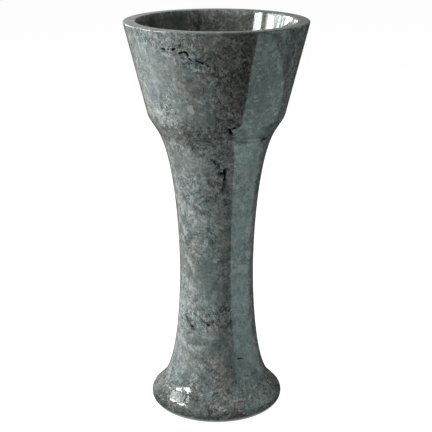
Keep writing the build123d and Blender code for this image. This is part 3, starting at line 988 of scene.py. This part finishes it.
class PLANTER_OT_fittings(bpy.types.Operator):
    """Finish the drain body, nuts, seals, pipe, pins and floor pads"""
    bl_idname = "planter.fittings"
    bl_label = "Drain, pins, beds and pads"
    bl_options = {"REGISTER", "UNDO"}

    def execute(self, context):
        brass = bpy.data.materials["worn_brass"]
        refinish(brass, "drain_flange", "drain_washer", "drain_locknut")
        refinish(pin_steel(), "bowl_dowels", "foot_dowels")
        refinish(seal_rubber(), "flange_gasket", "under_gasket", "slip_seal", "floor_pads")
        refinish(pipe_plastic(), "slip_nut", "drain_pipe", "pipe_guide")
        return {"FINISHED"}


def glow(name, strength, tint, edge=None):
    """Emission seen in reflections; edge builds a share from the finish."""
    f = Finish(name)
    f.nodes.remove(f.shader)
    light = f.node("Emission", (*tint, 1.0), f.times(edge(f), strength) if edge else strength)
    f.put(light.outputs[0], f.nodes["Material Output"].inputs["Surface"])
    return f.material


def reflected_only(obj, material):
    """A card that shows in gloss alone and lights nothing."""
    obj.data.materials.append(material)
    obj.visible_camera = obj.visible_diffuse = obj.visible_shadow = False
    obj.visible_transmission = obj.visible_volume_scatter = False


def sector(name, start, end, outline, material):
    """Sector between two azimuths, front 0 and right 90, spun from a straight outline in (radius, height)."""
    card = Lathe(name, outline[0])
    card.line(outline[1], 0.2)
    obj = card.spin(48, end - start)
    pick(obj)
    obj.rotation_euler.z = math.radians(start - 90.0)
    bpy.ops.object.transform_apply(location=False, rotation=True, scale=False)
    reflected_only(obj, material)


def pane(name, corners, material):
    """Window pane on the left, by its corners in (y, z): near low, far low, far high, near high."""
    pick_none()
    bpy.ops.mesh.primitive_plane_add(size=1)
    obj = bpy.context.object
    obj.name = name
    enter("EDIT")
    bpy.ops.mesh.subdivide(number_cuts=3)
    enter("OBJECT")
    near_low, far_low, far_high, near_high = (Vector(p) for p in corners)
    for v in obj.data.vertices:
        along, up = v.co.x + 0.5, v.co.y + 0.5
        at = near_low.lerp(far_low, along).lerp(near_high.lerp(far_high, along), up)
        v.co = (WINDOW_X, at.x, at.y)
    reflected_only(obj, material)


def soft_lamp(name, place, side, power, aim_z=0.5):
    """Square lamp that faces the axis and isn't mirrored."""
    pick_none()
    bpy.ops.object.light_add(type="AREA", location=place)
    lamp = bpy.context.object
    lamp.name = name
    lamp.rotation_euler = (Vector((0, 0, aim_z)) - Vector(place)).to_track_quat("-Z", "Y").to_euler()
    lamp.data.size, lamp.data.energy = side, power
    lamp.visible_camera = lamp.visible_glossy = False


def around(f):
    """Azimuth in degrees, front 0 and right 90, with its seam on the left, then radius and height."""
    x, y, z = f.parts()
    turn = f.times(f.math("ARCTAN2", x, f.times(y, -1.0)), 180.0 / math.pi)
    turn = f.plus(turn, f.times(f.math("LESS_THAN", turn, -90.0), 360.0))
    radius = f.math("SQRT", f.times_plus(x, x, f.times(y, y)))
    return turn, radius, z


class PLANTER_OT_studio(bpy.types.Operator):
    """Lay the pale floor, hang the lamps and cards and set the camera"""
    bl_idname = "planter.studio"
    bl_label = "Studio"
    bl_options = {"REGISTER", "UNDO"}

    def execute(self, context):
        s = context.scene.studio_setup
        self.floor(s)
        self.world(s)
        soft_lamp("low_window_lamp", (-2.216, -0.391, 0.978), 1.2, s.low_key_power)
        soft_lamp("high_window_lamp", (-1.735, -0.306, 1.978), 1.2, s.high_key_power)
        soft_lamp("front_lamp", (-0.7, -1.0, 3.2), 1.8, s.front_power, 0.45)
        soft_lamp("front_right_lamp", (1.3, -1.8, 1.1), 1.8, s.front_right_power)
        soft_lamp("right_lamp", (1.948, 1.125, 0.978), 1.2, s.right_power)
        soft_lamp("back_lamp", (0.3, 2.6, 1.6), 1.8, s.back_power)
        self.windows(s)
        self.cards(s)
        self.camera(context)
        return {"FINISHED"}

    def windows(self, s):
        def leaves(f):
            """Bright glass with grey foliage in front of its far part."""
            y = f.parts()[1]
            twigs = f.noise(7.0, 5.0, 0.7, 0.8)
            shaded = f.times(f.step(y, 0.30, 0.36), f.step(y, 1.5, 1.1))
            return f.less(1.0, f.times(shaded, f.step(twigs, 0.43, 0.52, 0.10, 0.80)))

        clear = glow("window_glow", s.window, (0.94, 1.0, 1.0), leaves)
        dim = glow("upper_window_glow", s.upper_window, (0.95, 1.0, 1.0))
        for name, glass, corners in (
                ("pane_near", clear, ((-0.87, 0.92), (-0.39, 0.92), (-0.42, 1.42), (-0.84, 1.42))),
                ("pane_near_upper", clear, ((-0.90, 1.42), (-0.44, 1.42), (-0.44, 1.66), (-0.90, 1.66))),
                ("pane_near_tall", clear, ((-0.60, 1.66), (-0.44, 1.66), (-0.38, 1.94), (-0.54, 1.94))),
                ("pane_middle", clear, ((-0.20, 0.92), (0.22, 0.95), (0.35, 1.24), (-0.07, 1.50))),
                ("pane_middle_edge", dim, ((-0.17, 1.10), (-0.07, 1.50), (0.02, 1.75), (-0.17, 1.75))),
                ("pane_middle_upper", dim, ((-0.07, 1.50), (0.35, 1.24), (0.50, 1.60), (0.02, 1.75))),
                ("pane_bar", dim, ((-0.34, 1.64), (-0.17, 1.64), (-0.17, 1.92), (-0.34, 1.92))),
                ("pane_far", clear, ((0.35, 1.22), (2.60, 0.97), (2.60, 1.12), (0.35, 1.42))),
                ("pane_high", clear, ((-0.46, 2.11), (-0.37, 2.02), (-0.56, 2.28), (-0.66, 2.38)))):
            pane(name, corners, glass)

    def cards(self, s):
        def shadowed_near_foot(f, level=1.0):
            """Painted shadow: the reflected floor darkens towards the foot, where the planter stands on it."""
            return f.times(level, f.step(around(f)[1], 0.17, 0.62, 0.04, 1.0))

        def screen_edges(f):
            """Left edge and slanting far edge of the lit teal floor."""
            turn, radius, _ = around(f)
            edge = f.plus(f.step(radius, 1.02, 1.22, 43.0, 47.5), f.step(radius, 1.22, 1.52, 0.0, 4.5))
            far = f.times_plus(f.less(turn, 50.0), 0.0030, 1.62)
            inner = f.step(f.less(turn, edge), -0.3, 0.5)
            outer = f.step(f.less(radius, far), 0.02, -0.02)
            reach = f.step(radius, 0.9, 1.4)
            fade = f.times(f.step(turn, 132.0, f.times_plus(reach, 12.0, 96.0)),
                           f.step(turn, 58.0, 112.0, 1.0, f.times_plus(reach, 0.20, 0.35)))
            fade = f.times(fade, f.step(radius, 0.6, 1.7, 1.25, 0.75))
            return shadowed_near_foot(f, f.times(f.times(inner, outer), fade))

        def screen_fade(f):
            """Sharp at the left and fading to the right."""
            turn = around(f)[0]
            return f.times(f.step(turn, 43.6, 44.6), f.step(turn, 112.0, 80.0))

        def back_shade(f):
            """Dim behind, brighter to the left and higher up."""
            turn, radius, height = around(f)
            level = f.times(f.step(turn, 160.0, 212.0, 0.22, 1.0), f.step(height, 0.1, 1.2, 0.10, 1.0))
            left = f.step(turn, 190.0, 228.0, 0.0, 0.8)
            return shadowed_near_foot(f, f.math("MAXIMUM", level, left))

        def front_shade(f):
            """Darker where the lit floor begins."""
            turn, radius, _ = around(f)
            dim = f.times(f.step(turn, 2.0, 40.0, 0.0, 0.85), f.step(radius, 2.1, 1.6))
            return shadowed_near_foot(f, f.less(1.0, dim))

        def floor_card(name, start, end, reach, lift, material):
            sector(name, start, end, ((CARD_START, lift), (reach, lift)), material)

        def wall(name, start, end, radius, material, top=CEILING_Z):
            sector(name, start, end, ((radius, 0.0), (radius, top)), material)

        teal = (0.66, 1.0, 0.98)
        floor_card("screen_floor", 40.0, 134.0, BACK_R, 0.0006, glow("screen_floor_glow", s.screen, teal, screen_edges))
        wall("screen_wall", 43.0, 134.0, SCREEN_R, glow("screen_wall_glow", s.screen_wall, teal, screen_fade),
             SCREEN_TOP)
        back = glow("back_glow", 0.75, (1.0, 0.98, 0.93), back_shade)
        floor_card("back_floor", 118.0, 242.0, BACK_R, 0.0003, back)
        wall("back_wall", 118.0, 242.0, BACK_R, back)
        front = glow("front_glow", s.front_card, (1.0, 1.0, 0.92), front_shade)
        floor_card("front_floor", -60.0, 46.3, FRONT_R, 0.0004, front)
        wall("front_wall", -60.0, 50.0, FRONT_R, front)
        floor_card("left_floor", 241.0, 301.0, FRONT_R, 0.0002,
                   glow("left_floor_glow", 0.97, (1.0, 1.0, 1.0), shadowed_near_foot))
        wall("left_wall", 241.0, 301.0, FRONT_R, glow("left_wall_glow", 0.5, (1.0, 1.0, 0.97)))
        sector("right_wall", 43.0, 134.0, ((SCREEN_R, SCREEN_TOP), (RIGHT_R, CEILING_Z)),
               glow("right_wall_glow", s.right_card, (0.72, 1.0, 0.97)))
        sector("ceiling", 0.0, 360.0, ((0.01, CEILING_Z), (3.3, CEILING_Z)),
               glow("ceiling_glow", s.ceiling_card, (1.0, 0.98, 0.92)))

    def floor(self, s):
        pick_none()
        bpy.ops.mesh.primitive_plane_add(size=40, location=(0, 0, -0.0001))
        ground = bpy.context.object
        ground.name = "studio_floor"
        f = Finish("studio_floor")
        f.shader.inputs["Specular IOR Level"].default_value = 0.0
        f.coat(s.floor, 0.9)
        f.put(f.seen_share(0.97), f.shader.inputs["Emission Strength"])
        f.shader.inputs["Emission Color"].default_value = (1, 1, 1, 1)
        ground.data.materials.append(f.material)

    def world(self, s):
        world = bpy.data.worlds.new("studio_world")
        bpy.context.scene.world = world
        world.use_nodes = True
        f = Nodes(world.node_tree)
        sky = f.nodes["Background"]
        f.put((1, 1, 1, 1), sky.inputs["Color"])
        f.put(f.plus(f.seen_share(1.0 - s.ambient), s.ambient), sky.inputs["Strength"])

    def camera(self, context):
        pick_none()
        bpy.ops.object.camera_add(location=CAMERA_PLACE, rotation=(math.radians(CAMERA_TILT), 0, 0))
        eye = bpy.context.object
        eye.name = "studio_camera"
        eye.data.lens, eye.data.sensor_width, eye.data.shift_x = CAMERA_LENS, 36.0, CAMERA_SHIFT
        context.scene.camera = eye
        context.scene.view_settings.view_transform = "Standard"


class PLANTER_PT_panel(bpy.types.Panel):
    """Lists the planter's pieces and their values"""
    bl_idname = "PLANTER_PT_panel"
    bl_label = "Stone Pedestal Planter"
    bl_space_type = "VIEW_3D"
    bl_region_type = "UI"
    bl_category = "Planter"

    def draw(self, context):
        column = self.layout.column()
        for step in STEPS:
            column.operator(step.bl_idname)
        for group in GROUPS:
            column.label(text=group.__doc__)
            values = getattr(context.scene, GROUPS[group])
            for name in group.__annotations__:
                column.prop(values, name)


STEPS = (PLANTER_OT_bowl, PLANTER_OT_column, PLANTER_OT_foot, PLANTER_OT_beds, PLANTER_OT_strainer,
         PLANTER_OT_fittings, PLANTER_OT_studio)
GROUPS = {PlanterShape: "planter_shape", StoneFinish: "stone_finish", FittingFinish: "fitting_finish",
          StudioSetup: "studio_setup"}


def register():
    for cls in (*GROUPS, *STEPS, PLANTER_PT_panel):
        bpy.utils.register_class(cls)
    for group, name in GROUPS.items():
        setattr(bpy.types.Scene, name, bpy.props.PointerProperty(type=group))


def unregister():
    for name in GROUPS.values():
        delattr(bpy.types.Scene, name)
    for cls in reversed((*GROUPS, *STEPS, PLANTER_PT_panel)):
        bpy.utils.unregister_class(cls)


def main():
    register()
    bpy.ops.planter.bowl()
    bpy.ops.planter.column()
    bpy.ops.planter.foot()
    bpy.ops.planter.beds()
    bpy.ops.planter.strainer()
    bpy.ops.planter.fittings()
    bpy.ops.planter.studio()
    pick_none()


if __name__ == "__main__":
    main()
